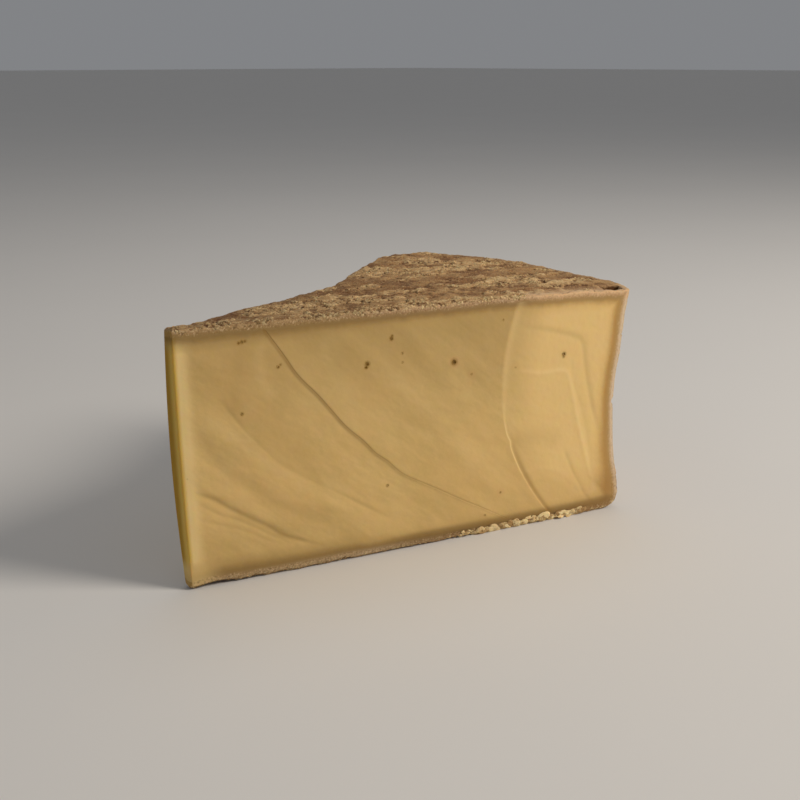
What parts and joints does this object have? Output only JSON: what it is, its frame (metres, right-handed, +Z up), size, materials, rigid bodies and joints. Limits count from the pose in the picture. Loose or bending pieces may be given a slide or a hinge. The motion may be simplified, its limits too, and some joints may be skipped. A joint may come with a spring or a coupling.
{
  "type": "beaufort cheese wedge",
  "caption": "Thick wedge cut from a large wheel of hard alpine cheese, with crusty rind on its top, its foot and its hollow heel and knife marks in the cut paste.",
  "frame": {"origin": "under the middle of the bounding box, on the surface that the wedge rests on", "axes": "+X from the nose to the heel along the middle of the wedge, +Z up; the cut face that the picture shows is on the -Y side"},
  "size_m": [0.2834, 0.1796, 0.147],
  "materials": {
    "paste": null,
    "rind": null
  },
  "bodies": {
    "root": {"cheese_wedge": "paste"}
  },
  "joints": []
}
